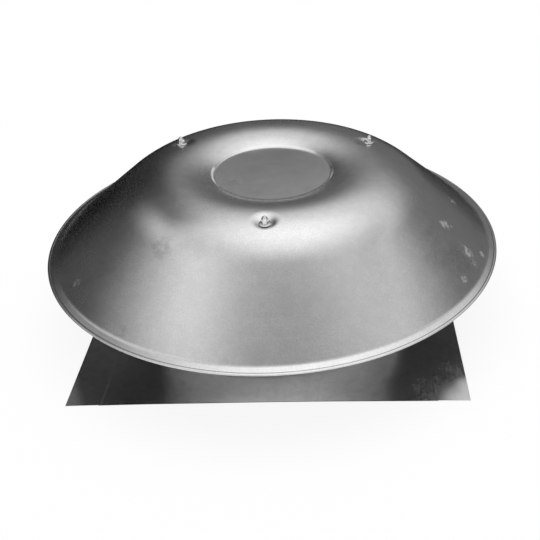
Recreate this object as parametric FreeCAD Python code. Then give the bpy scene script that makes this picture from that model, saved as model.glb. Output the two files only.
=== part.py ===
import FreeCAD, Part
import math
import os

V = FreeCAD.Vector

# Static roof vent. A round hood stands on three brackets over a throat that is drawn up out of a square
# flashing. All sizes are in millimetres. The origin is the centre of the flashing's underside, +Z is up
# and the front, with one of the three brackets, faces -Y.

# Sheet metal
SHEET = 0.8                 # thickness of the hood and of the flashing
SEAT_GAP = 0.3              # clearance where a curved face seats on another piece

# Hood
DOME_DIAMETER = 609.6       # over the folded edge
RIM_HEIGHT = 95.0           # underside of the folded edge above the roof
CREST_HEIGHT = 201.6        # highest circle of the crown above the roof
CREST_RADIUS = 128.0        # radius of that circle
CROWN_ARC = 120.0           # radius of the crown's cross-section
DISC_RADIUS = 78.0          # flat disc in the middle of the crown
DISC_DEPTH = 12.0           # how far the disc lies below the crest
LIP_WIDTH = 11.6            # from the foot of the skirt to the outer edge
LIP_SLOPE = 15.0            # degrees, of the lip down to the outer edge
HEM_WIDTH = 3.8             # folded edge, from its inner side to its outer side
HEM_LAYERS = 3              # thicknesses of sheet in the folded edge
HEM_RISE = 0.5              # how far the folded edge stands above the lip where it starts

# Flat pads pressed into the hood under the nuts
FASTENINGS = {"front": -90.0, "rear_right": 30.0, "rear_left": 150.0}
BOLT_CIRCLE_RADIUS = 152.4
PAD_RADIUS = 8.4
PAD_DEPTH = 2.4             # below the crown's surface, at the bolt circle
PAD_WALL_SLOPE = 28.0       # degrees, of the wall that rises from the pad to the crown

# Flashing and throat
FLASHING_SIDE = 489.0
THROAT_BORE = 355.6
THROAT_HEIGHT = 108.0
FOOT_RADIUS = 25.4          # drawn radius between flashing and throat, on the weather side

# Brackets
STRIP_WIDTH = 25.4
STRIP_THICKNESS = 1.6
STRIP_BEND = 3.0            # inside radius of the bends
STRIP_CORNER = 4.0          # rounding of the lower corners
LEG_END_MARGIN = 10.0       # from the lower rivet to the end of the leg
SHOULDER_DROP = 17.0        # from the tab down to the bend at the top of the leg

# Rivets
RIVET_RADIUS = 2.0
RIVET_HOLE_CLEARANCE = 0.1
RIVET_HEAD_RADIUS = 4.0
RIVET_HEAD_HEIGHT = 1.3
RIVET_TAIL_RADIUS = 3.2
RIVET_TAIL_LENGTH = 2.2
RIVET_EDGE_MARGIN = 7.0     # from the throat's top edge to the upper rivet
RIVET_PITCH = 26.0

# Bird screen
WIRE = 1.2
MESH_PITCH = 25.4           # nominal cell of the welded mesh
SCREEN_OVERLAP = 14.0       # how far the screen reaches down over the throat
CLIP_WIDTH = 34.0
CLIP_THICKNESS = 1.0

# Screws, washers and nuts
SCREW_RADIUS = 2.08
SCREW_HEAD_RADIUS = 4.0
SCREW_HEAD_HEIGHT = 2.6
SCREW_HOLE_CLEARANCE = 0.3
RUBBER_RADIUS = 6.8
RUBBER_THICKNESS = 1.5
WASHER_RADIUS = 7.4
WASHER_THICKNESS = 0.9
NUT_ACROSS_FLATS = 7.94
NUT_HEX_HEIGHT = 4.7
NUT_HEIGHT = 8.5
NUT_CAP_RADIUS = 3.8
THREAD_CLEARANCE = 0.05

# Derived places
DOME_RADIUS = DOME_DIAMETER / 2
THROAT_INNER = THROAT_BORE / 2
THROAT_OUTER = THROAT_INNER + SHEET
CROWN_CENTRE_HEIGHT = CREST_HEIGHT - CROWN_ARC
LIP_END_RADIUS = DOME_RADIUS - HEM_WIDTH
LIP_END_HEIGHT = RIM_HEIGHT + HEM_LAYERS * SHEET - HEM_RISE
LIP_FALL = math.tan(math.radians(LIP_SLOPE))
SCREW_HOLE_RADIUS = SCREW_RADIUS + SCREW_HOLE_CLEARANCE
RIVET_HOLE_RADIUS = RIVET_RADIUS + RIVET_HOLE_CLEARANCE
RIVET_HIGH = THROAT_HEIGHT - RIVET_EDGE_MARGIN
RIVET_LOW = RIVET_HIGH - RIVET_PITCH
LEG_OUTER = math.sqrt(THROAT_INNER**2 - (STRIP_WIDTH / 2) ** 2) - SEAT_GAP
LEG_INNER = LEG_OUTER - STRIP_THICKNESS


def crown_height(radius, depth=0.0):
    """Height of the crown's surface at a radius, or of the surface that lies depth below it."""
    reach = radius - CREST_RADIUS
    return CROWN_CENTRE_HEIGHT + math.sqrt((CROWN_ARC - depth) ** 2 - reach**2)


PAD_HEIGHT = crown_height(BOLT_CIRCLE_RADIUS) - PAD_DEPTH
TAB_TOP = PAD_HEIGHT - SHEET
TAB_BOTTOM = TAB_TOP - STRIP_THICKNESS
SCREEN_INNER = THROAT_OUTER + SEAT_GAP
SCREEN_OUTER = SCREEN_INNER + 2 * WIRE
SCREEN_BOTTOM = THROAT_HEIGHT - SCREEN_OVERLAP


def face_of(edges):
    return Part.Face(Part.Wire(Part.__sortEdges__(edges)))


def polyline(points):
    """Straight edges through points given as (across, up) in the XZ plane."""
    places = [V(x, 0, z) for x, z in points]
    return [Part.makeLine(a, b) for a, b in zip(places, places[1:])]


def arc(centre, radius, start_deg, mid_deg, end_deg):
    """Arc in the XZ plane, with angles measured from +X towards +Z."""
    points = []
    for angle in (start_deg, mid_deg, end_deg):
        turn = math.radians(angle)
        points.append(V(centre[0] + radius * math.cos(turn), 0, centre[1] + radius * math.sin(turn)))
    return Part.Arc(*points).toShape()


def end_of(edge, last=True):
    """End point of an edge as (across, up)."""
    point = edge.valueAt(edge.LastParameter if last else edge.FirstParameter)
    return (point.x, point.z)


def spin(edges):
    """Solid of revolution about the vertical axis."""
    return face_of(edges).revolve(V(0, 0, 0), V(0, 0, 1), 360)


def spin_about_x(points, height):
    """Solid of revolution about the line along X at a height, from (along, off-axis) points."""
    closed = [(x, height + off) for x, off in points]
    closed.append(closed[0])
    return face_of(polyline(closed)).revolve(V(0, 0, height), V(1, 0, 0), 360)


def turned(shape, azimuth):
    """The shape turned about the vent's axis, from +X to the azimuth in degrees."""
    copy = shape.copy()
    copy.rotate(V(0, 0, 0), V(0, 0, 1), azimuth)
    return copy


def skirt_tilt():
    """Angle of the skirt below the horizontal, for the line from the lip's inner corner that is tangent
    to the crown's arc."""
    corner = DOME_RADIUS - LIP_WIDTH
    across = corner - CREST_RADIUS
    up = LIP_END_HEIGHT + (LIP_END_RADIUS - corner) * LIP_FALL - CROWN_CENTRE_HEIGHT
    return math.asin(CROWN_ARC / math.hypot(across, up)) - math.atan2(up, across)


def hood_body(depth):
    """Everything under the hood's top surface, or under the surface that lies depth inside it."""
    arc_radius = CROWN_ARC - depth
    centre = (CREST_RADIUS, CROWN_CENTRE_HEIGHT)
    floor = RIM_HEIGHT - depth

    disc = (DISC_RADIUS + depth * math.tan(math.pi / 8), CREST_HEIGHT - DISC_DEPTH - depth)
    across = disc[0] - centre[0]
    up = disc[1] - centre[1]
    rise = (-(across + up) + math.sqrt((across + up) ** 2 - 2 * (across**2 + up**2 - arc_radius**2))) / 2
    step_top = (disc[0] + rise, disc[1] + rise)

    start = math.degrees(math.atan2(step_top[1] - centre[1], step_top[0] - centre[0]))
    end = 90.0 - math.degrees(SKIRT_TILT)
    crown = arc(centre, arc_radius, start, (start + end) / 2, end)
    skirt_top = end_of(crown)

    lip_end = LIP_END_HEIGHT - depth / math.cos(math.radians(LIP_SLOPE))
    fall = math.tan(SKIRT_TILT)
    drop = skirt_top[1] - lip_end - (LIP_END_RADIUS - skirt_top[0]) * LIP_FALL
    corner = skirt_top[0] + drop / (fall - LIP_FALL)

    edges = polyline([(0, floor), (0, disc[1]), disc, step_top])
    edges.append(crown)
    rim = [skirt_top, (corner, skirt_top[1] - (corner - skirt_top[0]) * fall), (LIP_END_RADIUS, lip_end)]
    if depth == 0:
        rim.append((LIP_END_RADIUS + HEM_RISE, lip_end + HEM_RISE))
        rim.append((DOME_RADIUS, lip_end + HEM_RISE - (HEM_WIDTH - HEM_RISE) * LIP_FALL))
        rim.append((DOME_RADIUS, floor))
    else:
        rim.append((LIP_END_RADIUS, floor))
    rim.append((0, floor))
    return spin(edges + polyline(rim))


def pad_tool(depth):
    """What the press clears above a pad: a flat bottom and a sloping wall."""
    slope = math.radians(PAD_WALL_SLOPE)
    bottom = PAD_HEIGHT - depth
    foot = PAD_RADIUS + depth * math.tan(slope / 2)
    reach = CREST_HEIGHT - bottom
    brim = foot + reach / math.tan(slope)
    outline = [(0, bottom), (foot, bottom), (brim, CREST_HEIGHT), (0, CREST_HEIGHT), (0, bottom)]
    tool = spin(polyline(outline))
    tool.translate(V(BOLT_CIRCLE_RADIUS, 0, 0))
    return tool


def screw_hole(bottom, length):
    """Upright cutter for a screw's clearance hole, on the bolt circle."""
    return Part.makeCylinder(SCREW_HOLE_RADIUS, length, V(BOLT_CIRCLE_RADIUS, 0, bottom))


def dome():
    """Hood of even sheet: the body under its top surface less the body under its inner surface."""
    outside = hood_body(0.0)
    inside = hood_body(SHEET)
    for azimuth in FASTENINGS.values():
        outside = outside.cut(turned(pad_tool(0.0), azimuth))
        inside = inside.cut(turned(pad_tool(SHEET), azimuth))
    hood = outside.cut(inside)
    hole = screw_hole(PAD_HEIGHT - 2 * SHEET, 4 * SHEET)
    for azimuth in FASTENINGS.values():
        hood = hood.cut(turned(hole, azimuth))
    return hood


def rivet_holes():
    """Round cutters along X for the two rivets of a bracket, long enough for wall, strip and clip."""
    holes = []
    for height in (RIVET_LOW, RIVET_HIGH):
        start = V(LEG_INNER - STRIP_THICKNESS, 0, height)
        length = SCREEN_OUTER + 2 * CLIP_THICKNESS - start.x
        holes.append(Part.makeCylinder(RIVET_HOLE_RADIUS, length, start, V(1, 0, 0)))
    return holes


def base_flashing():
    """Square sheet with the throat drawn up from its middle."""
    foot = THROAT_OUTER + FOOT_RADIUS
    centre = (foot, SHEET + FOOT_RADIUS)
    outer = arc(centre, FOOT_RADIUS, -90.0, -135.0, -180.0)
    inner = arc(centre, FOOT_RADIUS + SHEET, -90.0, -135.0, -180.0)
    wall_top = [(THROAT_OUTER, THROAT_HEIGHT), (THROAT_INNER, THROAT_HEIGHT)]
    wall = polyline([end_of(outer)] + wall_top + [end_of(inner)])
    edge = polyline([end_of(outer, last=False), end_of(inner, last=False)])
    throat = spin([outer, inner] + wall + edge)
    half = FLASHING_SIDE / 2
    plate = Part.makeBox(FLASHING_SIDE, FLASHING_SIDE, SHEET, V(-half, -half, 0))
    plate = plate.cut(Part.makeCylinder(foot, SHEET))
    sheet = plate.fuse(throat)
    for azimuth in FASTENINGS.values():
        for hole in rivet_holes():
            sheet = sheet.cut(turned(hole, azimuth))
    return sheet


def rounded_strip(points, radius):
    """Open path through points with its corners rounded by tangent arcs."""
    edges = []
    here = V(points[0][0], 0, points[0][1])
    for before, corner, after in zip(points, points[1:], points[2:]):
        tip = V(corner[0], 0, corner[1])
        back = (V(before[0], 0, before[1]) - tip).normalize()
        ahead = (V(after[0], 0, after[1]) - tip).normalize()
        half_angle = back.getAngle(ahead) / 2
        setback = radius / math.tan(half_angle)
        middle = (back + ahead).normalize() * (radius / math.sin(half_angle) - radius)
        first = tip + back * setback
        last = tip + ahead * setback
        edges.append(Part.makeLine(here, first))
        edges.append(Part.Arc(first, tip + middle, last).toShape())
        here = last
    edges.append(Part.makeLine(here, V(points[-1][0], 0, points[-1][1])))
    return edges


def bracket():
    """Strip bent twice: a leg flat on the throat's inner wall and a tab under the hood's pad."""
    half = STRIP_WIDTH / 2
    leg_end = RIVET_LOW - LEG_END_MARGIN
    shoulder = BOLT_CIRCLE_RADIUS + PAD_RADIUS
    tab_end = BOLT_CIRCLE_RADIUS - half
    outer = [
        (LEG_OUTER, leg_end),
        (LEG_OUTER, TAB_TOP - SHOULDER_DROP),
        (shoulder, TAB_TOP),
        (tab_end, TAB_TOP),
    ]
    lean = math.atan2(SHOULDER_DROP, LEG_OUTER - shoulder)
    inset_low = STRIP_THICKNESS * math.tan((math.pi / 2 - lean) / 2)
    inset_high = STRIP_THICKNESS * math.tan(lean / 2)
    inner = [
        (LEG_INNER, leg_end),
        (LEG_INNER, TAB_TOP - SHOULDER_DROP - inset_low),
        (shoulder - inset_high, TAB_BOTTOM),
        (tab_end, TAB_BOTTOM),
    ]
    edges = rounded_strip(outer, STRIP_BEND + STRIP_THICKNESS)
    edges += rounded_strip(inner, STRIP_BEND)
    edges += polyline([outer[0], inner[0]])
    edges += polyline([outer[-1], inner[-1]])
    strip = face_of(edges).extrude(V(0, STRIP_WIDTH, 0))
    strip.translate(V(0, -half, 0))

    # Seen from above, the tab ends in a half circle
    reach = max(LEG_OUTER, shoulder)
    plan = Part.makeBox(reach - BOLT_CIRCLE_RADIUS, STRIP_WIDTH, TAB_TOP, V(BOLT_CIRCLE_RADIUS, -half, 0))
    plan = plan.fuse(Part.makeCylinder(half, TAB_TOP, V(BOLT_CIRCLE_RADIUS, 0, 0)))

    # Seen from the front, the leg's lower corners are round
    sides = [(-half, TAB_TOP), (-half, leg_end), (half, leg_end), (half, TAB_TOP)]
    front = face_of(rounded_strip(sides, STRIP_CORNER) + polyline([sides[-1], sides[0]]))
    front = front.extrude(V(0, -reach, 0))
    front.rotate(V(0, 0, 0), V(0, 0, 1), 90)

    strip = strip.common(plan).common(front)
    for hole in rivet_holes():
        strip = strip.cut(hole)
    return strip.cut(screw_hole(TAB_TOP - 2 * STRIP_THICKNESS, 3 * STRIP_THICKNESS))


def rivet(height, seat):
    """Blind rivet from the strip's inner face to its domed head on the seat outside."""
    crown = seat + RIVET_HEAD_HEIGHT
    return spin_about_x(
        [
            (LEG_INNER - RIVET_TAIL_LENGTH, 0),
            (LEG_INNER - RIVET_TAIL_LENGTH, RIVET_TAIL_RADIUS),
            (LEG_INNER, RIVET_TAIL_RADIUS),
            (LEG_INNER, RIVET_RADIUS),
            (seat, RIVET_RADIUS),
            (seat, RIVET_HEAD_RADIUS),
            (crown, RIVET_HEAD_RADIUS / 2),
            (crown, 0),
        ],
        height,
    )


def clip_seat():
    """Distance from the axis to the clip's inner face, which rests on the two wires beside the rivet."""
    half_cell = math.pi / mesh_count()
    return SCREEN_OUTER * math.cos(half_cell) + WIRE / 2 * math.sin(half_cell) + SEAT_GAP / 2


def bracket_rivets():
    low = rivet(RIVET_LOW, THROAT_OUTER)
    high = rivet(RIVET_HIGH, clip_seat() + CLIP_THICKNESS)
    return Part.makeCompound([low, high])


def screen_clip():
    """Flat plate over two wires of the screen, held by the upper rivet."""
    height = THROAT_HEIGHT - SCREEN_BOTTOM
    corner = V(clip_seat(), -CLIP_WIDTH / 2, SCREEN_BOTTOM)
    plate = Part.makeBox(CLIP_THICKNESS, CLIP_WIDTH, height, corner)
    for hole in rivet_holes():
        plate = plate.cut(hole)
    return plate


def mesh_count():
    """Number of upright wires. It is a multiple of the brackets, so each rivet is in the middle of a cell."""
    share = 2 * math.pi * SCREEN_INNER / MESH_PITCH / len(FASTENINGS)
    return len(FASTENINGS) * round(share)


def bird_screen():
    """Welded mesh: upright wires on the outside of hoops that are bent from wire to wire."""
    count = mesh_count()
    top = crown_height(SCREEN_OUTER, SHEET) - SEAT_GAP
    rows = round((top - SCREEN_BOTTOM) / MESH_PITCH)
    row_pitch = (top - SCREEN_BOTTOM - WIRE) / rows
    cell = 360.0 / count
    first = list(FASTENINGS.values())[0] + cell / 2

    rings = []
    for flat in (SCREEN_INNER, SCREEN_INNER + WIRE):
        reach = flat / math.cos(math.pi / count)
        corners = []
        for number in range(count + 1):
            turn = math.radians(first + cell * (number + 0.5))
            corners.append(V(reach * math.cos(turn), reach * math.sin(turn), SCREEN_BOTTOM))
        rings.append(Part.Face(Part.makePolygon(corners)))
    hoop = rings[1].cut(rings[0]).extrude(V(0, 0, WIRE))

    hoops = []
    for row in range(rows + 1):
        copy = hoop.copy()
        copy.translate(V(0, 0, row * row_pitch))
        hoops.append(copy)
    foot = V(SCREEN_INNER + WIRE, -WIRE / 2, SCREEN_BOTTOM)
    upright = Part.makeBox(WIRE, WIRE, top - SCREEN_BOTTOM, foot)
    uprights = [turned(upright, first + cell * number) for number in range(count)]
    return hoops[0].multiFuse(hoops[1:] + uprights).removeSplitter()


def on_bolt(outline):
    """Solid of revolution about the bolt's axis from a closed (off-axis, up) outline."""
    shape = spin(polyline(outline + outline[:1]))
    shape.translate(V(BOLT_CIRCLE_RADIUS, 0, 0))
    return shape


def screw():
    """Cheese-head screw from under the bracket's tab up into the cap nut."""
    bottom = TAB_BOTTOM - SCREW_HEAD_HEIGHT
    return on_bolt([
        (0, bottom),
        (SCREW_HEAD_RADIUS, bottom),
        (SCREW_HEAD_RADIUS, TAB_BOTTOM),
        (SCREW_RADIUS, TAB_BOTTOM),
        (SCREW_RADIUS, SCREW_END),
        (0, SCREW_END),
    ])


def rubber_washer():
    """Sealing disc on the pad."""
    top = PAD_HEIGHT + RUBBER_THICKNESS
    return on_bolt([
        (SCREW_HOLE_RADIUS, PAD_HEIGHT),
        (SCREW_HOLE_RADIUS, top),
        (RUBBER_RADIUS, top),
        (RUBBER_RADIUS, PAD_HEIGHT),
    ])


def metal_washer():
    """Wide washer that spreads the nut's force over the rubber."""
    under = PAD_HEIGHT + RUBBER_THICKNESS
    return on_bolt([
        (SCREW_HOLE_RADIUS, under),
        (SCREW_HOLE_RADIUS, WASHER_TOP),
        (WASHER_RADIUS, WASHER_TOP),
        (WASHER_RADIUS, under),
    ])


def cap_nut():
    """Hexagon nut with a closed cap and a blind threaded hole."""
    reach = NUT_ACROSS_FLATS / 2 / math.cos(math.pi / 6)
    corners = []
    for number in range(7):
        turn = math.radians(60.0 * number + 30.0)
        corners.append(V(BOLT_CIRCLE_RADIUS + reach * math.cos(turn), reach * math.sin(turn), WASHER_TOP))
    hexagon = Part.Face(Part.makePolygon(corners)).extrude(V(0, 0, NUT_HEX_HEIGHT))
    top = WASHER_TOP + NUT_HEIGHT
    cap = on_bolt([
        (0, WASHER_TOP),
        (NUT_CAP_RADIUS, WASHER_TOP),
        (NUT_CAP_RADIUS, top - NUT_CAP_RADIUS / 2),
        (NUT_CAP_RADIUS / 2, top),
        (0, top),
    ])
    depth = SCREW_END + SEAT_GAP - WASHER_TOP
    foot = V(BOLT_CIRCLE_RADIUS, 0, WASHER_TOP)
    thread = Part.makeCylinder(SCREW_RADIUS + THREAD_CLEARANCE, depth, foot)
    return hexagon.fuse(cap).removeSplitter().cut(thread)


SKIRT_TILT = skirt_tilt()
WASHER_TOP = PAD_HEIGHT + RUBBER_THICKNESS + WASHER_THICKNESS
SCREW_END = WASHER_TOP + NUT_HEIGHT - NUT_CAP_RADIUS

REPEATED = {
    "bracket": bracket,
    "bracket_rivets": bracket_rivets,
    "screen_clip": screen_clip,
    "screw": screw,
    "rubber_washer": rubber_washer,
    "metal_washer": metal_washer,
    "cap_nut": cap_nut,
}

parts = {
    "dome": dome(),
    "base_flashing": base_flashing(),
    "bird_screen": bird_screen(),
}
for piece, make in REPEATED.items():
    shape = make()
    for side, azimuth in FASTENINGS.items():
        parts[side + "_" + piece] = turned(shape, azimuth)

os.makedirs("parts", exist_ok=True)
for node, shape in parts.items():
    shape.exportStep("parts/" + node + ".step")
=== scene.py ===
import math

import bpy
from mathutils import Matrix, Vector

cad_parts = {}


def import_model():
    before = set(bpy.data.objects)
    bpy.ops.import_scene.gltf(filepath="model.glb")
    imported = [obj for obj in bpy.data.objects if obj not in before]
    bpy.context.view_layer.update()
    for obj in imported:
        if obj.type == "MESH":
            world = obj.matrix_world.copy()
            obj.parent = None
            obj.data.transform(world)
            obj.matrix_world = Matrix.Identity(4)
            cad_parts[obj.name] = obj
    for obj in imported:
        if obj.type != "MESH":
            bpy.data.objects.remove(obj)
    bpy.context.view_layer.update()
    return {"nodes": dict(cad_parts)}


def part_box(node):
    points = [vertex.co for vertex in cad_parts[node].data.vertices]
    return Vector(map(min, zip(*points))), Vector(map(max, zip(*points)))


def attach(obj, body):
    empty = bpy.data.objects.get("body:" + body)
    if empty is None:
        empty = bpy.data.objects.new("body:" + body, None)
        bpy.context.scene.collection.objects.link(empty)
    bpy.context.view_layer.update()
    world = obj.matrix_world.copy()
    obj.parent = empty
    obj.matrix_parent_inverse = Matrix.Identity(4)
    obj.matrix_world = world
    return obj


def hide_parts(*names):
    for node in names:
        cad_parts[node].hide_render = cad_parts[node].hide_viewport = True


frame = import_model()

# Sizes of the part are in millimetres, and the ones that the CAD has too are the same there. Meshes, materials
# and the studio are in metres.
MM = 0.001

# Hood
DOME_RADIUS = 304.8
RIM_HEIGHT = 95.0
CREST_HEIGHT = 201.6
CREST_RADIUS = 128.0
CROWN_ARC = 120.0
DISC_RADIUS = 78.0
DISC_DEPTH = 12.0
LIP_WIDTH = 11.6
LIP_SLOPE = math.radians(15.0)
LIP_DROP = 0.5              # from the hem's top to the lip's outer edge
SHEET = 0.8

# Hem at the hood's edge
HEM_WIDTH = 3.8
HEM_TOP = 97.4
HEM_EDGE = 0.9              # radius of its edges
HEM_GROOVE = ((0.05, 1.1), (0.3, 1.2), (0.45, 0.7), (0.75, 0.15), (1.2, 0.05))  # outwards and down from its top
HEM_FACE_END = 0.6          # from the end of its sloping face to the middle of its round edge
HEM_OUTER_DROP = 0.62       # from its top to the round edge
GROOVE_SHADE_RADIUS = 301.25        # where its fold starts, and the middle of the dark line of painted shade in its groove

# How softly the hood's faces run into each other
STEP_FOOT_BLEND = 1.6
STEP_TOP_BLEND = 0.9
LIP_BLEND = 1.2
PAD_FOOT_BLEND = 1.6
PAD_TOP_BLEND = 3.0

# Rings of the hood's mesh, close where the sheet bends: single radii, then runs of (first radius, step, number)
HOOD_RINGS = (4, 20, 40, 60, 72)
HOOD_RUNS = ((76, 0.35, 16), (82, 2.5, 20), (132, 1.0, 42), (176, 3.2, 11), (212, 9, 9), (290, 0.4, 28))

# Points in each ring of the hood's and the flashing's mesh
ROUND_POINTS = 720

# Pads and fasteners
AZIMUTHS = {"front": -90.0, "rear_right": 30.0, "rear_left": 150.0}
BOLT_CIRCLE = 152.4
PAD_RADIUS = 8.4
PAD_HEIGHT = 196.69
PAD_WALL_SLOPE = math.radians(28.0)
WASHER_HOLE = 2.4
RUBBER_RADIUS = 6.8
RUBBER_THICKNESS = 1.5
WASHER_RADIUS = 7.4
WASHER_THICKNESS = 0.9
WASHER_CROWN = 0.35
WASHER_FLAT = 4.5           # radius of the flat middle of its top
BRIM_DEPTH = 1.0            # turned-down edge of the metal washers, which covers the rubber
BRIM_WALL = 0.5
NUT_ACROSS = 7.94
NUT_HEIGHT = 8.5
HEXAGON_HEIGHT = 4.7
CAP_RADIUS = 3.8
SCREW_RADIUS = 2.08
SCREW_HEAD_RADIUS = 4.0
SCREW_HEAD_HEIGHT = 2.6
SCREW_HEAD_EASE = 1.4
STRIP_THICKNESS = 1.6
WASHER_BOTTOM = PAD_HEIGHT + RUBBER_THICKNESS
NUT_BOTTOM = WASHER_BOTTOM + WASHER_THICKNESS
SCREW_SEAT = PAD_HEIGHT - SHEET - STRIP_THICKNESS

# Flashing and throat
FLASHING_SIDE = 489.0
THROAT_INNER = 177.8
THROAT_OUTER = 178.6
THROAT_HEIGHT = 108.0
THROAT_EASE = 0.2           # rounded top edge
THROAT_RINGS = (90.0, 60.0, 40.0)
FOOT_RADIUS = 25.4
# Rings of its mesh between the foot and the square edge, as shares of the way
FLASHING_SHARES = [0.03, 0.1, 0.2, 0.3, 0.4] + [0.5 + 0.025 * k for k in range(21)]

# How the thin flashing stands off the roof
BOW_START = 200.0           # from the middle to where the front edge begins to bow
BOW_HEIGHT = 2.4
CORNER_INSET = (38.0, 30.0)
CORNER_SIZE = 40.0
CORNER_HEIGHT = 2.2
WAVE_HEIGHT = 0.12
WAVE_TURNS = (0.031, 0.027)     # radians per millimetre, across and along
WAVE_START = 0.5

# Bird screen
WIRE = 1.2
WIRE_SIDES = 8
SCREEN_CLEARANCE = 0.3
SCREEN_UPRIGHTS = 45
SCREEN_ROWS = 4
HOOP_BEND = 1.0012          # how much wider the hoops are halfway between the uprights
UPRIGHT_PLACE = 1.45        # middle of an upright, in wires outside the hoops' inner side
UPRIGHT_SHORT = 0.1         # from the end of an upright to the screen's edge

# Wear, as (x, y, z, size)
SCUFFS = (
    (229, -69, 145, 11),
    (221, -75, 149, 8),
    (245, 6, 140, 10),
    (247, -88, 123, 10),
    (253, -94, 118, 13),
    (258, -104, 112, 10),
    (243, -142, 109, 8),
    (276, -77, 105, 7),
    (-236, -146, 112, 7),
)
STAINS = (
    (207, -136, 137, 30),
    (202, -112, 151, 24),
    (236, -120, 122, 34),
    (-123, -164, 174, 24),
    (-236, -168, 104, 32),
    (-51, -32, 190, 14),
    (-18, -61, 190, 11),
    (-31, -52, 190, 8),
    (8, 137, 201, 22),
    (34, 129, 201, 14),
    (-162, -235, 105, 10),
)
FLASHING_SCUFFS = (
    (240, -246, 0, 46),
    (246, -222, 0, 30),
)
FLASHING_HAZE = (
    (208, -226, 0, 54),
    (228, -200, 0, 46),
)
SPOT_CORE = 0.3             # share of a spot's size that is at its full strength
WORN_RING_RADIUS = 79.8
CREASE_PLACE = -202
CREASE_WIDTH = 1.5          # from its middle to its edge

# Camera, fitted to the photograph
FRAME_PX = 540
FOCAL_PX = 791.4
PRINCIPAL_PX = (345.0, 270.0)
CAMERA_PLACE = (96.6, -955.2, 658.7)
CAMERA_PITCH = math.radians(33.23)
CAMERA_TURN = math.radians(-1.15)
SENSOR_WIDTH = 36.0

# Studio, in metres and degrees
FLOOR_HALF = 30.0
WALL_RADIUS = 3.0
WALL_ROWS = (0.0, 1.0, 2.0, 3.0, 4.45)
SCRIM_RADIUS = 2.9
SCRIM_START = 45
SCRIM_STEP = 3
SCRIM_ROWS = 16
FLAG_HEIGHT = 0.0003        # just above the floor
FLAG_UNDER_RADIUS = 0.32
FLAG_FLOOR_ARC = (10.0, 197.0)
LAMP_SIZE = (2.2, 1.8)
LAMP_PLACE = (0.1, 0.3, 2.4)
LAMP_WATTS = 38.0


def smooth_max(a, b, blend):
    h = max(blend - abs(a - b), 0.0) / blend
    return max(a, b) + h * h * blend / 4


def smooth_min(a, b, blend):
    return -smooth_max(-a, -b, blend)


# Meshes

def mesh_object(name, vertices, faces, sharp):
    """Mesh from points in millimetres, smooth apart from edges sharper than the angle in degrees."""
    mesh = bpy.data.meshes.new(name)
    mesh.from_pydata([(x * MM, y * MM, z * MM) for x, y, z in vertices], [], faces)
    mesh.validate()
    mesh.set_sharp_from_angle(angle=math.radians(sharp))
    obj = bpy.data.objects.new(name, mesh)
    bpy.context.scene.collection.objects.link(obj)
    return obj


def tube_faces(a, b, count):
    """Faces between two closed rings of points, which start at a and b."""
    return [(a + i, a + (i + 1) % count, b + (i + 1) % count, b + i) for i in range(count)]


def revolve(name, outline, count, sharp, press=None, closed=False, across=0.0):
    """Surface of revolution from (radius, height, depth) points, with its axis at x = across. A radius of 0
    makes one point. press(x, y, z, depth) may move a point up or down."""
    vertices = []
    faces = []
    rings = []
    for point in outline:
        radius, height = point[:2]
        rings.append((len(vertices), 1 if radius == 0 else count))
        for i in range(rings[-1][1]):
            turn = 2 * math.pi * i / count
            x = radius * math.cos(turn)
            y = radius * math.sin(turn)
            z = press(x, y, height, point[2]) if press else height
            vertices.append((across + x, y, z))
    pairs = list(zip(rings, rings[1:]))
    if closed:
        pairs.append((rings[-1], rings[0]))
    for (a, count_a), (b, count_b) in pairs:
        for i in range(count):
            j = (i + 1) % count
            if count_a == 1:
                faces.append((a, b + i, b + j))
            elif count_b == 1:
                faces.append((a + j, a + i, b))
            else:
                faces.append((a + j, a + i, b + i, b + j))
    return mesh_object(name, vertices, faces, sharp)


def tube(vertices, faces, path, radius, closed=False):
    """Adds a round wire along a path to lists of vertices and faces."""
    first = len(vertices)
    number = len(path)
    for k, point in enumerate(path):
        before = Vector(path[k - 1] if k > 0 or closed else point)
        after = Vector(path[(k + 1) % number] if k < number - 1 or closed else point)
        along = (after - before).normalized()
        across = along.cross(Vector((0, 0, 1)))
        if across.length < 0.1:
            across = along.cross(Vector(point).normalized())
        across.normalize()
        other = along.cross(across)
        for i in range(WIRE_SIDES):
            turn = 2 * math.pi * i / WIRE_SIDES
            out = across * (radius * math.cos(turn)) + other * (radius * math.sin(turn))
            vertices.append(Vector(point) + out)
    for k in range(number if closed else number - 1):
        faces += tube_faces(first + k * WIRE_SIDES, first + (k + 1) % number * WIRE_SIDES, WIRE_SIDES)
    if not closed:
        last = first + (number - 1) * WIRE_SIDES
        faces.append(tuple(first + i for i in range(WIRE_SIDES))[::-1])
        faces.append(tuple(last + i for i in range(WIRE_SIDES)))


def arc(centre, radius, start, end, steps):
    """Points on an arc, in degrees from +X towards up."""
    points = []
    for k in range(steps + 1):
        turn = math.radians(start + (end - start) * k / steps)
        points.append((centre[0] + radius * math.cos(turn), centre[1] + radius * math.sin(turn)))
    return points


# Hood

def lip_height(radius):
    """Height of the lip, which slopes down to the hem."""
    return HEM_TOP - LIP_DROP + (DOME_RADIUS - HEM_WIDTH - radius) * math.tan(LIP_SLOPE)


def skirt_tilt():
    """Slope of the skirt that touches the crown's arc and ends at the lip."""
    across = DOME_RADIUS - LIP_WIDTH - CREST_RADIUS
    up = lip_height(DOME_RADIUS - LIP_WIDTH) - (CREST_HEIGHT - CROWN_ARC)
    return math.asin(CROWN_ARC / math.hypot(across, up)) - math.atan2(up, across)


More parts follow.
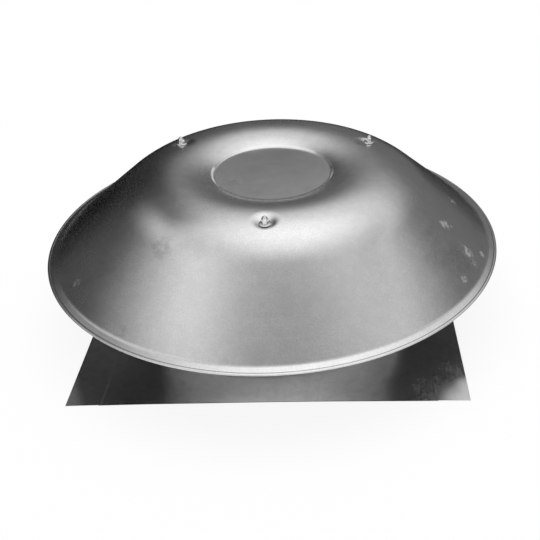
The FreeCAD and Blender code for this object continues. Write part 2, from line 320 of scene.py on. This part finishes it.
def hood_height(radius):
    """Height of the hood's top face: disc, step, crown, skirt and lip, with eased corners."""
    tilt = skirt_tilt()
    skirt_top = CREST_RADIUS + CROWN_ARC * math.sin(tilt)
    crown_centre = CREST_HEIGHT - CROWN_ARC
    if radius < skirt_top:
        reach = max(-CROWN_ARC, radius - CREST_RADIUS)
        height = crown_centre + math.sqrt(CROWN_ARC**2 - reach**2)
    else:
        height = crown_centre + CROWN_ARC * math.cos(tilt) - (radius - skirt_top) * math.tan(tilt)
    disc = CREST_HEIGHT - DISC_DEPTH
    if radius < CREST_RADIUS:
        step = smooth_max(disc, disc + radius - DISC_RADIUS, STEP_FOOT_BLEND)
        height = step if radius < DISC_RADIUS else smooth_min(height, step, STEP_TOP_BLEND)
    return smooth_max(height, lip_height(radius), LIP_BLEND)


def press_pads(x, y, z, depth):
    """Lowers the hood's faces to the flat pads under the nuts. depth is how far below its top face a point
    lies, and None marks the hem, which isn't pressed."""
    if depth is None:
        return z
    for azimuth in AZIMUTHS.values():
        turn = math.radians(azimuth)
        off = math.hypot(x - BOLT_CIRCLE * math.cos(turn), y - BOLT_CIRCLE * math.sin(turn))
        if off < 4 * PAD_RADIUS:
            foot = PAD_RADIUS + depth * math.tan(PAD_WALL_SLOPE / 2)
            wall = smooth_max(0.0, (off - foot) * math.tan(PAD_WALL_SLOPE), PAD_FOOT_BLEND)
            z = smooth_min(z, PAD_HEIGHT - depth + wall, PAD_TOP_BLEND)
    return z


def hem_outline():
    """A groove where the hem starts, a face that slopes with the lip, a round outer edge and the underside."""
    start = DOME_RADIUS - HEM_WIDTH
    outer = DOME_RADIUS - HEM_EDGE
    groove_width, shoulder_drop = HEM_GROOVE[-1]
    face_width = HEM_WIDTH - HEM_EDGE - HEM_FACE_END - groove_width
    points = [(start + out, HEM_TOP - down) for out, down in HEM_GROOVE]
    points += [(outer - HEM_FACE_END, HEM_TOP - face_width * math.tan(LIP_SLOPE) - shoulder_drop)]
    points += arc((outer, HEM_TOP - HEM_OUTER_DROP - HEM_EDGE), HEM_EDGE, 72.0, 0.0, 6)
    points += arc((outer, RIM_HEIGHT + HEM_EDGE / 2), HEM_EDGE / 2, 0.0, -90.0, 4)[1:]
    points += arc((start + HEM_EDGE, RIM_HEIGHT + HEM_EDGE), HEM_EDGE, -90.0, -180.0, 6)
    return points


def hood():
    radii = list(HOOD_RINGS)
    for first, step, number in HOOD_RUNS:
        radii += [first + step * k for k in range(number)]
    top = [(radius, hood_height(radius)) for radius in radii]
    inner = []
    for before, here, after in zip(top, top[1:], top[2:]):
        along = Vector((after[0] - before[0], after[1] - before[1])).normalized()
        inner.append((here[0] + along.y * SHEET, here[1] - along.x * SHEET))

    outline = [(0, hood_height(0), 0.0)]
    outline += [(r, z, 0.0) for r, z in top]
    outline += [(r, z, None) for r, z in hem_outline()]
    outline += [(r, z, SHEET) for r, z in reversed(inner[::2])]
    outline += [(0, hood_height(0) - SHEET, SHEET)]
    return revolve("hood_skin", outline, ROUND_POINTS, 50.0, press=press_pads)


# Flashing

def lift(x, y):
    """How far the thin sheet stands off the roof: nearly flat, with its front edge bowed up a little and its
    right front corner lifted a little."""
    half = FLASHING_SIDE / 2
    front = max(0.0, (-y - BOW_START) / (half - BOW_START)) ** 2
    bow = BOW_HEIGHT * front * (1 - (x / half) ** 2)
    off = math.hypot(x - half + CORNER_INSET[0], y + half - CORNER_INSET[1])
    corner = CORNER_HEIGHT * max(0.0, 1 - off / CORNER_SIZE) ** 2
    wave = 1 + math.sin(WAVE_TURNS[0] * x + WAVE_START) * math.cos(WAVE_TURNS[1] * y)
    return bow + corner + WAVE_HEIGHT * wave


def flashing():
    foot = THROAT_OUTER + FOOT_RADIUS
    half = FLASHING_SIDE / 2
    count = ROUND_POINTS
    vertices = []
    faces = []

    def ring(radius, z, square=0.0):
        """Ring of points that is a share of the way from a circle to the square edge. Flat ones are lifted."""
        for i in range(count):
            turn = 2 * math.pi * i / count
            edge = half / max(abs(math.cos(turn)), abs(math.sin(turn)))
            reach = radius + (edge - radius) * square
            x = reach * math.cos(turn)
            y = reach * math.sin(turn)
            vertices.append((x, y, z + lift(x, y) * square if square else z))

    foot_centre = (foot, SHEET + FOOT_RADIUS)
    ring(THROAT_OUTER, THROAT_HEIGHT - THROAT_EASE)
    for z in THROAT_RINGS:
        ring(THROAT_OUTER, z)
    for r, z in arc(foot_centre, FOOT_RADIUS, 180.0, 270.0, 18):
        ring(r, z)
    for share in FLASHING_SHARES:
        ring(foot, SHEET, share)
    for share in reversed(FLASHING_SHARES):
        ring(foot, 0.0, share)
    for r, z in arc(foot_centre, FOOT_RADIUS + SHEET, 270.0, 180.0, 18):
        ring(r, z)
    for z in reversed(THROAT_RINGS):
        ring(THROAT_INNER, z)
    ring(THROAT_INNER, THROAT_HEIGHT - THROAT_EASE)
    ring(THROAT_INNER + THROAT_EASE, THROAT_HEIGHT)
    ring(THROAT_OUTER - THROAT_EASE, THROAT_HEIGHT)

    rings = len(vertices) // count
    for k in range(rings):
        a = k * count
        b = (k + 1) % rings * count
        for i in range(count):
            j = (i + 1) % count
            faces.append((a + i, b + i, b + j, a + j))
    return mesh_object("flashing_skin", vertices, faces, 50.0)


# Screen

def screen():
    """Welded mesh: hoops inside, upright wires outside, both round."""
    low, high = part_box("bird_screen")
    bottom = low.z / MM
    top = high.z / MM
    inner = THROAT_OUTER + SCREEN_CLEARANCE
    cell = 2 * math.pi / SCREEN_UPRIGHTS
    first = math.radians(AZIMUTHS["front"]) + cell / 2
    vertices = []
    faces = []
    for row in range(SCREEN_ROWS + 1):
        z = bottom + WIRE / 2 + row * (top - bottom - WIRE) / SCREEN_ROWS
        path = []
        for i in range(SCREEN_UPRIGHTS * 2):
            turn = first + cell * (i / 2)
            reach = (inner + WIRE / 2) * (1.0 if i % 2 == 0 else HOOP_BEND)
            path.append((reach * math.cos(turn), reach * math.sin(turn), z))
        tube(vertices, faces, path, WIRE / 2, closed=True)
    reach = inner + WIRE * UPRIGHT_PLACE
    for i in range(SCREEN_UPRIGHTS):
        x = reach * math.cos(first + cell * i)
        y = reach * math.sin(first + cell * i)
        tube(vertices, faces, [(x, y, bottom + UPRIGHT_SHORT), (x, y, top - UPRIGHT_SHORT)], WIRE / 2)
    return mesh_object("screen_wires", vertices, faces, 50.0)


# Small fasteners

def place(obj, side):
    """Turns a fastener made on the +X side of the bolt circle to its station."""
    obj.data.transform(Matrix.Rotation(math.radians(AZIMUTHS[side]), 4, "Z"))
    return obj


def cap_nut(name):
    """Domed nut: hexagon that is chamfered into a smooth cap nearly as wide as its flats."""
    count = 72
    corner = NUT_ACROSS / 2 / math.cos(math.pi / 6)
    shoulder = HEXAGON_HEIGHT + 0.5
    # Height and reach of the corners, as a share of a sharp hexagon's
    levels = [(0.0, 0.93), (0.4, 0.985), (HEXAGON_HEIGHT - 0.5, 0.985)]
    levels += [(HEXAGON_HEIGHT, 0.95), (HEXAGON_HEIGHT + 0.4, 0.87)]
    cap = [(CAP_RADIUS, shoulder)] + arc((0, NUT_HEIGHT - CAP_RADIUS), CAP_RADIUS, 0.0, 84.0, 12)
    turns = [2 * math.pi * i / count for i in range(count)]
    vertices = []
    faces = []
    for z, share in levels:
        for turn in turns:
            folded = (turn - math.pi / 6) % (math.pi / 3) - math.pi / 6
            reach = min(NUT_ACROSS / 2 / math.cos(folded), corner * share)
            vertices.append((BOLT_CIRCLE + reach * math.cos(turn), reach * math.sin(turn), NUT_BOTTOM + z))
    for r, z in cap:
        for turn in turns:
            x = BOLT_CIRCLE + r * math.cos(turn)
            vertices.append((x, r * math.sin(turn), NUT_BOTTOM + max(z, shoulder)))
    rows = len(levels) + len(cap)
    for k in range(rows - 1):
        faces += tube_faces(k * count, (k + 1) * count, count)
    faces.append(tuple(range(count))[::-1])
    faces.append(tuple((rows - 1) * count + i for i in range(count)))
    return mesh_object(name, vertices, faces, 25.0)


def washer(name, z, thickness, radius, crown=0.0, brim=0.0):
    """Ring with rounded edges. crown lifts its inner edge, and brim turns its outer edge down."""
    ease = min(0.3, thickness / 3)
    top = z + thickness
    outline = [
        (WASHER_HOLE, z),
        (WASHER_HOLE, top),
        (WASHER_FLAT, top),
        (radius - 2 * ease, top - crown * 0.8),
        (radius - ease, top - crown),
        (radius, top - crown - ease),
    ]
    if brim:
        outline += [(radius, z - brim), (radius - BRIM_WALL, z - brim), (radius - BRIM_WALL, z)]
    else:
        outline += [(radius, z + ease * 0.6), (radius - ease * 0.6, z)]
    return revolve(name, outline, 64, 35.0, closed=True, across=BOLT_CIRCLE)


def screw(name):
    """Pan-head screw from below the bracket's tab."""
    ease = SCREW_HEAD_EASE
    under = SCREW_SEAT - SCREW_HEAD_HEIGHT
    end = NUT_BOTTOM + HEXAGON_HEIGHT
    outline = [(0, under), (1.6, under + 0.05)]
    outline += arc((SCREW_HEAD_RADIUS - ease, under + ease), ease, -90.0, 0.0, 6)
    outline += [(SCREW_HEAD_RADIUS, SCREW_SEAT), (SCREW_RADIUS, SCREW_SEAT), (SCREW_RADIUS, end), (0, end)]
    return revolve(name, outline, 48, 35.0, across=BOLT_CIRCLE)


# Materials

def grey(value):
    return (value, value, value)


class Nodes:
    """Short way to write the nodes of a material or of the world."""

    def __init__(self, owner):
        owner.use_nodes = True
        self.tree = owner.node_tree
        self.tree.nodes.clear()

    def node(self, kind, **settings):
        made = self.tree.nodes.new(kind)
        for key, value in settings.items():
            setattr(made, key, value)
        return made

    def link(self, source, target):
        self.tree.links.new(source, target)

    def feed(self, target, value):
        if hasattr(value, "is_linked"):
            self.link(value, target)
        else:
            target.default_value = value

    def output(self, kind, source):
        self.link(source, self.node(kind).inputs["Surface"])

    def object_place(self):
        return self.node("ShaderNodeTexCoord").outputs["Object"]

    def math(self, operation, *values):
        made = self.node("ShaderNodeMath", operation=operation)
        for target, value in zip(made.inputs, values):
            self.feed(target, value)
        return made.outputs[0]

    def vector(self, operation, *values):
        made = self.node("ShaderNodeVectorMath", operation=operation)
        for target, value in zip(made.inputs, values):
            self.feed(target, value)
        return made.outputs["Value" if operation in ("LENGTH", "DISTANCE") else "Vector"]

    def axes(self, vector):
        made = self.node("ShaderNodeSeparateXYZ")
        self.link(vector, made.inputs[0])
        return made.outputs

    def span(self, value, low, high, to_low, to_high, kind="SMOOTHSTEP"):
        made = self.node("ShaderNodeMapRange", interpolation_type=kind)
        self.feed(made.inputs["Value"], value)
        made.inputs["From Min"].default_value = low
        made.inputs["From Max"].default_value = high
        made.inputs["To Min"].default_value = to_low
        made.inputs["To Max"].default_value = to_high
        return made.outputs[0]

    def shader_node(self, kind, **inputs):
        made = self.node(kind)
        for key, value in inputs.items():
            self.feed(made.inputs[key], value)
        return made.outputs[0]

    def mix_shaders(self, share, a, b):
        made = self.node("ShaderNodeMixShader")
        for target, source in zip(made.inputs, (share, a, b)):
            self.link(source, target)
        return made.outputs[0]

    def seen_plainly(self):
        """1 for camera, glossy and transmission rays, which all see the pale background."""
        path = self.node("ShaderNodeLightPath")
        total = self.math("MAXIMUM", path.outputs["Is Camera Ray"], path.outputs["Is Glossy Ray"])
        return self.math("MAXIMUM", total, path.outputs["Is Transmission Ray"])


class Finish(Nodes):
    """Material of a piece. Its plain colour and roughness are what a viewer without these nodes shows."""

    def __init__(self, name, colour, roughness, metallic=1.0):
        self.material = bpy.data.materials.new(name)
        super().__init__(self.material)
        self.shader = self.node("ShaderNodeBsdfPrincipled")
        self.shader.inputs["Base Color"].default_value = (*colour, 1.0)
        self.shader.inputs["Roughness"].default_value = roughness
        self.shader.inputs["Metallic"].default_value = metallic
        self.output("ShaderNodeOutputMaterial", self.shader.outputs[0])
        self.place = self.object_place()

    def noise(self, vector, scale, detail=2.0, roughness=0.5):
        made = self.node("ShaderNodeTexNoise")
        self.feed(made.inputs["Vector"], vector)
        made.inputs["Scale"].default_value = scale
        made.inputs["Detail"].default_value = detail
        made.inputs["Roughness"].default_value = roughness
        return made.outputs["Fac"]

    def grain(self, scale, detail, roughness):
        """Noise with a scale of its own along each axis."""
        return self.noise(self.vector("MULTIPLY", self.place, scale), 1.0, detail, roughness)

    def flat_place(self):
        return self.vector("MULTIPLY", self.place, (1.0, 1.0, 0.0))

    def mix(self, factor, a, b):
        made = self.node("ShaderNodeMix", data_type="RGBA")
        self.feed(made.inputs[0], factor)
        for target, value in ((made.inputs[6], a), (made.inputs[7], b)):
            self.feed(target, (*value, 1.0) if isinstance(value, tuple) else value)
        return made.outputs[2]

    def bump(self, height, distance, strength, under=None):
        made = self.node("ShaderNodeBump")
        made.inputs["Strength"].default_value = strength
        made.inputs["Distance"].default_value = distance
        self.feed(made.inputs["Height"], height)
        if under:
            self.link(under, made.inputs["Normal"])
        return made.outputs[0]

    def line(self, value, middle, inner, outer):
        """1 where a value is nearer to the middle than inner, and 0 where it is further than outer."""
        off = self.math("ABSOLUTE", self.math("SUBTRACT", value, middle))
        return self.span(off, inner, outer, 1.0, 0.0)

    def spots(self, places):
        """1 near any of the places, given in millimetres with the size of each spot, and 0 elsewhere."""
        total = None
        for x, y, z, size in places:
            apart = self.vector("DISTANCE", self.place, (x * MM, y * MM, z * MM))
            spot = self.span(apart, size * SPOT_CORE * MM, size * MM, 1.0, 0.0)
            total = self.math("MAXIMUM", total, spot) if total else spot
        return total

    def dull_metal(self, worn, amount):
        """Lets worn places look a little less like bare metal."""
        share = self.math("SUBTRACT", 1.0, self.math("MULTIPLY", worn, amount))
        self.link(share, self.shader.inputs["Metallic"])

    def finish(self, colour, roughness, normal=None):
        self.link(colour, self.shader.inputs["Base Color"])
        self.link(roughness, self.shader.inputs["Roughness"])
        if normal:
            self.link(normal, self.shader.inputs["Normal"])
        return self.material


def spun_aluminium():
    """Satin metal with fine rings from spinning, a worn edge round the disc, pale scuffs, dull stains, and
    painted shade as a dark line in the groove where the hem starts.
    """
    g = Finish("spun_aluminium", grey(0.9), 0.24)
    axes = g.axes(g.place)
    flat = g.flat_place()
    radius = g.vector("LENGTH", flat)
    ring_place = g.node("ShaderNodeCombineXYZ")
    g.link(g.math("MULTIPLY", radius, 260.0), ring_place.inputs["Z"])
    outward = g.vector("NORMALIZE", flat)
    streaks = g.noise(g.vector("MULTIPLY_ADD", outward, (1.6, 1.6, 0.0), ring_place.outputs[0]), 1.0, 4.0, 0.65)
    cloud = g.noise(g.place, 9.0, 5.0, 0.6)
    grain = g.noise(g.place, 560.0, 2.0, 0.6)
    mottle = g.noise(g.place, 75.0, 6.0, 0.7)
    ragged = g.grain((90.0, 90.0, 130.0), 5.0, 0.7)

    # The worn ring fades towards the front, and the painted shade in the hem's groove shows only on top of the
    # hem
    worn = g.line(radius, WORN_RING_RADIUS * MM, 0.0006, 0.0022)
    worn = g.math("MULTIPLY", worn, g.span(g.noise(g.place, 22.0, 3.0), 0.4, 0.62, 0.15, 1.0))
    worn = g.math("MULTIPLY", worn, g.span(axes["Y"], -0.06, -0.02, 0.0, 1.0))
    groove_shade = g.line(radius, GROOVE_SHADE_RADIUS * MM, 0.0003, 0.0008)
    groove_shade = g.math("MULTIPLY", groove_shade, g.span(axes["Z"], 0.0955, 0.096, 0.0, 1.0))
    scuff = g.math("MULTIPLY", g.spots(SCUFFS), g.span(ragged, 0.44, 0.62, 0.0, 0.55))
    scuff = g.math("MAXIMUM", scuff, worn)
    stain = g.math("MULTIPLY", g.spots(STAINS), g.span(ragged, 0.35, 0.65, 0.0, 0.8))

    colour = g.mix(g.span(cloud, 0.3, 0.7, 0.0, 1.0), grey(0.86), grey(0.93))
    colour = g.mix(g.span(grain, 0.3, 0.7, 0.0, 1.0), grey(0.82), colour)
    colour = g.mix(g.span(mottle, 0.38, 0.62, 0.0, 0.35), colour, grey(0.74))
    colour = g.mix(g.math("MULTIPLY", stain, 0.7), colour, grey(0.5))
    colour = g.mix(scuff, colour, grey(0.96))
    # Painted shade: darkens the groove where the hem's fold starts
    colour = g.mix(groove_shade, colour, grey(0.5))

    # Faces that look down are the inside of the hood, which is duller
    down = g.axes(g.node("ShaderNodeNewGeometry").outputs["True Normal"])["Z"]
    rough = g.math("ADD", g.span(cloud, 0.3, 0.7, 0.22, 0.27), g.span(streaks, 0.3, 0.7, -0.008, 0.012))
    rough = g.math("ADD", rough, g.math("MULTIPLY", scuff, 0.2))
    rough = g.math("ADD", rough, g.math("MULTIPLY", stain, 0.06))
    rough = g.math("ADD", rough, g.span(down, -0.1, 0.0, 0.12, 0.0))
    g.dull_metal(scuff, 0.45)
    normal = g.bump(streaks, 0.000003, 0.5)
    normal = g.bump(grain, 0.00002, 0.5, normal)
    normal = g.bump(g.noise(g.place, 14.0, 2.0), 0.0005, 0.5, normal)
    return g.finish(colour, rough, normal)


def sheet_aluminium():
    """Rolled sheet: smoother than the hood and duller where the throat is drawn, with a faint crease, a scuffed
    front corner and streaky haze beside it."""
    g = Finish("sheet_aluminium", grey(0.88), 0.2)
    radius = g.vector("LENGTH", g.flat_place())
    grain = g.grain((900.0, 14.0, 900.0), 3.0, 0.6)
    streaks = g.grain((420.0, 60.0, 420.0), 4.0, 0.6)
    cloud = g.noise(g.place, 11.0, 5.0, 0.6)
    mottle = g.noise(g.place, 90.0, 6.0, 0.75)

    worn = g.math("POWER", g.spots(FLASHING_SCUFFS), 1.6)
    worn = g.math("MULTIPLY", worn, g.span(streaks, 0.25, 0.6, 0.65, 0.95))
    dull = g.spots(FLASHING_HAZE)
    haze = g.math("MULTIPLY", dull, g.span(streaks, 0.42, 0.7, 0.0, 0.16))
    crease = g.line(g.axes(g.place)["X"], CREASE_PLACE * MM, 0.0, CREASE_WIDTH * MM)
    worn = g.math("MAXIMUM", g.math("MAXIMUM", worn, haze), g.math("MULTIPLY", crease, 0.16))

    colour = g.mix(g.span(cloud, 0.35, 0.7, 0.0, 1.0), grey(0.82), grey(0.9))
    colour = g.mix(g.span(mottle, 0.42, 0.62, 0.0, 0.5), colour, grey(0.7))
    colour = g.mix(worn, colour, grey(0.95))
    rough = g.math("ADD", g.span(cloud, 0.3, 0.7, 0.13, 0.19), g.span(mottle, 0.45, 0.7, 0.0, 0.08))
    rough = g.math("ADD", rough, g.math("MULTIPLY", worn, 0.25))
    rough = g.math("ADD", rough, g.math("MULTIPLY", dull, 0.08))
    rough = g.math("ADD", rough, g.span(radius, 0.18, 0.2, 0.34, 0.0))
    g.dull_metal(worn, 0.4)
    normal = g.bump(grain, 0.00002, 0.4)
    normal = g.bump(mottle, 0.00002, 0.4, normal)
    normal = g.bump(crease, 0.0001, 1.0, normal)
    return g.finish(colour, rough, normal)


def galvanised(name):
    g = Finish(name, (0.6, 0.61, 0.62), 0.4)
    spangle = g.node("ShaderNodeTexVoronoi")
    spangle.inputs["Scale"].default_value = 260.0
    g.link(g.place, spangle.inputs["Vector"])
    tone = g.node("ShaderNodeSeparateColor")
    g.link(spangle.outputs["Color"], tone.inputs[0])
    colour = g.mix(tone.outputs[0], (0.5, 0.51, 0.52), (0.7, 0.71, 0.72))
    return g.finish(colour, g.span(tone.outputs[1], 0.0, 1.0, 0.32, 0.48))


def zinc_plate(name, smoothest, roughest):
    g = Finish(name, grey(0.88), roughest)
    cloud = g.noise(g.place, 300.0, 3.0)
    colour = g.mix(cloud, (0.84, 0.84, 0.85), (0.92, 0.92, 0.93))
    return g.finish(colour, g.span(cloud, 0.3, 0.7, smoothest, roughest), g.bump(cloud, 0.00003, 0.3))


def rivet_aluminium():
    g = Finish("rivet_aluminium", grey(0.8), 0.3)
    cloud = g.noise(g.place, 400.0, 3.0)
    return g.finish(g.mix(cloud, grey(0.7), grey(0.85)), g.span(cloud, 0.3, 0.7, 0.25, 0.4))


def rubber():
    g = Finish("black_rubber", grey(0.03), 0.6, metallic=0.0)
    cloud = g.noise(g.place, 500.0, 4.0)
    colour = g.mix(cloud, grey(0.02), grey(0.06))
    return g.finish(colour, g.span(cloud, 0.3, 0.7, 0.5, 0.75), g.bump(cloud, 0.00005, 0.4))


# Pieces

def dress(obj, material):
    obj.data.materials.clear()
    obj.data.materials.append(material)


strip = galvanised("galvanised_strip")
zinc = zinc_plate("zinc_plate", 0.26, 0.36)
smooth_zinc = zinc_plate("smooth_zinc_plate", 0.1, 0.18)
rivet = rivet_aluminium()
black = rubber()

pieces = [
    (hood(), "dome", spun_aluminium(), "mill_aluminium"),
    (flashing(), "base_flashing", sheet_aluminium(), "mill_aluminium"),
    (screen(), "bird_screen", galvanised("galvanised_wire"), "galvanised_wire"),
]
for side in AZIMUTHS:
    nut = cap_nut(side + "_acorn_nut")
    plate = washer(side + "_steel_washer", WASHER_BOTTOM, WASHER_THICKNESS, WASHER_RADIUS,
                   crown=WASHER_CROWN, brim=BRIM_DEPTH)
    seal = washer(side + "_seal_washer", PAD_HEIGHT, RUBBER_THICKNESS, RUBBER_RADIUS)
    bolt = screw(side + "_pan_screw")
    pieces += [
        (place(nut, side), side + "_cap_nut", zinc, "zinc_plate"),
        (place(plate, side), side + "_metal_washer", smooth_zinc, "zinc_plate"),
        (place(seal, side), side + "_rubber_washer", black, "black_rubber"),
        (place(bolt, side), side + "_screw", zinc, "zinc_plate"),
    ]
for obj, node, material, slot in pieces:
    dress(obj, material)
    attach(obj, "root")
    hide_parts(node)

# The other pieces are the CAD's own
for side in AZIMUTHS:
    for node, material in (("bracket", strip), ("screen_clip", strip), ("bracket_rivets", rivet)):
        dress(frame["nodes"][side + "_" + node], material)


# Studio

def stage_plane(name, vertices, faces, material):
    mesh = bpy.data.meshes.new(name)
    mesh.from_pydata(vertices, [], faces)
    mesh.materials.append(material)
    obj = bpy.data.objects.new(name, mesh)
    bpy.context.scene.collection.objects.link(obj)
    return obj


def pale_floor():
    """Diffuse floor that also glows a little to what sees it, so that it is near white and keeps its shadow."""
    made = bpy.data.materials.new("pale_floor")
    made.cycles.emission_sampling = "NONE"
    f = Nodes(made)
    diffuse = f.shader_node("ShaderNodeBsdfDiffuse", Color=(*grey(0.9), 1.0))
    glow = f.shader_node("ShaderNodeEmission", Strength=1.0)
    far = f.span(f.vector("LENGTH", f.object_place()), 0.4, 1.4, 0.9, 1.0, "LINEAR")
    share = f.math("MULTIPLY", f.seen_plainly(), far)
    f.output("ShaderNodeOutputMaterial", f.mix_shaders(share, diffuse, glow))
    return made


def world():
    made = bpy.data.worlds.new("studio")
    made.cycles.sampling_method = "NONE"
    bpy.context.scene.world = made
    w = Nodes(made)
    soft = w.shader_node("ShaderNodeBackground", Color=(1.0, 1.0, 1.0, 1.0), Strength=0.6)
    white = w.shader_node("ShaderNodeBackground", Color=(1.0, 1.0, 1.0, 1.0), Strength=1.0)
    w.output("ShaderNodeOutputWorld", w.mix_shaders(w.seen_plainly(), soft, white))


class Cloth(Nodes):
    """Flag or scrim that only glows, by an amount that can change over it. Places on it are in metres."""

    def __init__(self, name):
        self.material = bpy.data.materials.new(name)
        self.material.cycles.emission_sampling = "NONE"
        super().__init__(self.material)
        self.place = self.object_place()
        self.x, self.y, self.z = self.axes(self.place)

    def around(self, place, near, far, at_place, away, squeeze=(1.0, 1.0, 1.0)):
        """An amount round a place, which is given in coordinates that are squeezed along each axis."""
        apart = self.vector("DISTANCE", self.vector("MULTIPLY", self.place, squeeze), place)
        return self.span(apart, near, far, at_place, away)

    def lit(self, *amounts):
        total = amounts[0]
        for amount in amounts[1:]:
            total = self.math("ADD", total, amount)
        self.output("ShaderNodeOutputMaterial", self.shader_node("ShaderNodeEmission", Strength=total))
        return self.material


def wall_cloth():
    """Dark at the foot and light at the top, and in front the other way round. Lighter on the right, and
    darker behind on the left."""
    c = Cloth("flag_wall")
    height = c.span(c.z, 1.25, 3.6, 0.065, 0.86)
    front = c.span(c.z, 1.4, 2.9, 0.85, 0.33)
    share = c.span(c.y, -1.0, -2.1, 0.0, 1.0)
    fill = c.math("MULTIPLY", share, c.math("SUBTRACT", front, height))
    shaded = c.math("MULTIPLY", c.span(c.y, 1.4, 2.3, 0.0, 1.0), c.span(c.x, -0.5, -1.4, 0.0, -0.8))
    return c.lit(height, fill, c.math("MULTIPLY", height, shaded), c.span(c.x, -2.4, 2.4, -0.002, 0.08))


def scrim_cloth():
    """Lightest just behind the top, with a dimmer area high up in front, lighter on the left, and darker on the
    right and behind on the left."""
    c = Cloth("scrim_top")
    dim = c.around((0.2, -1.9, 2.2), 0.1, 1.9, 0.26, 0.63, squeeze=(0.8, 1.0, 1.0))
    box = c.around((0.18, 0.62, 2.78), 0.3, 1.8, 0.5, 0.0)
    left = c.around((-1.75, -1.2, 2.0), 0.2, 1.3, 0.26, 0.0)
    right = c.span(c.x, 1.5, 2.4, 0.0, -0.32)
    rear = c.around((-1.55, 1.5, 1.9), 0.3, 1.1, -0.55, 0.0)
    return c.lit(dim, box, left, right, rear)


def floor_cloth():
    """Nearly black, and lighter on the right."""
    c = Cloth("flag_shade")
    return c.lit(c.span(c.x, 0.2, 1.2, 0.006, 0.08))


def ring_points(radius, z, start=0.0, end=360.0):
    count = 64
    points = []
    for i in range(count + 1):
        turn = math.radians(start + (end - start) * i / count)
        points.append((radius * math.cos(turn), radius * math.sin(turn), z))
    return points


def band(rows):
    """Vertices and faces between rows of points."""
    vertices = [point for row in rows for point in row]
    count = len(rows[0])
    faces = []
    for k in range(len(rows) - 1):
        for i in range(count - 1):
            a = k * count + i
            faces.append((a, a + 1, a + count + 1, a + count))
    return vertices, faces


def studio():
    s = FLOOR_HALF
    stage_plane("floor", [(-s, -s, 0), (s, -s, 0), (s, s, 0), (-s, s, 0)], [(0, 1, 2, 3)], pale_floor())

    # Flags and a scrim that only reflections see
    rises = [math.radians(SCRIM_START + SCRIM_STEP * k) for k in range(SCRIM_ROWS)]
    wall = [ring_points(WALL_RADIUS, z) for z in WALL_ROWS]
    top = [ring_points(SCRIM_RADIUS * math.cos(rise), SCRIM_RADIUS * math.sin(rise)) for rise in rises]
    under = [ring_points(r, FLAG_HEIGHT) for r in (0.0, FLAG_UNDER_RADIUS)]
    side = [ring_points(r, FLAG_HEIGHT, *FLAG_FLOOR_ARC) for r in (FLAG_UNDER_RADIUS, WALL_RADIUS)]
    shade = floor_cloth()
    flags = [
        stage_plane("flag_wall", *band(wall), wall_cloth()),
        stage_plane("scrim_top", *band(top), scrim_cloth()),
        stage_plane("flag_under", *band(under), shade),
        stage_plane("flag_floor", *band(side), shade),
    ]
    for flag in flags:
        flag.visible_camera = False
        flag.visible_diffuse = False
        flag.visible_transmission = False
        flag.visible_shadow = False

    light = bpy.data.lights.new("overhead_softbox", "AREA")
    light.shape = "RECTANGLE"
    light.size, light.size_y = LAMP_SIZE
    light.energy = LAMP_WATTS
    lamp = bpy.data.objects.new("overhead_softbox", light)
    lamp.matrix_world = Matrix.Translation(LAMP_PLACE)
    lamp.visible_camera = False
    lamp.visible_glossy = False
    bpy.context.scene.collection.objects.link(lamp)


def camera():
    data = bpy.data.cameras.new("camera")
    data.sensor_width = SENSOR_WIDTH
    data.lens = FOCAL_PX / FRAME_PX * SENSOR_WIDTH
    data.shift_x = (FRAME_PX / 2 - PRINCIPAL_PX[0]) / FRAME_PX
    data.shift_y = (PRINCIPAL_PX[1] - FRAME_PX / 2) / FRAME_PX
    data.clip_start = 0.01
    data.clip_end = 100.0
    obj = bpy.data.objects.new("camera", data)
    pitch = Matrix.Rotation(math.pi / 2 - CAMERA_PITCH, 4, "X")
    place = Matrix.Translation(Vector(CAMERA_PLACE) * MM)
    obj.matrix_world = Matrix.Rotation(CAMERA_TURN, 4, "Z") @ place @ pitch
    bpy.context.scene.collection.objects.link(obj)
    bpy.context.scene.camera = obj


world()
studio()
camera()
bpy.context.scene.view_settings.view_transform = "Standard"
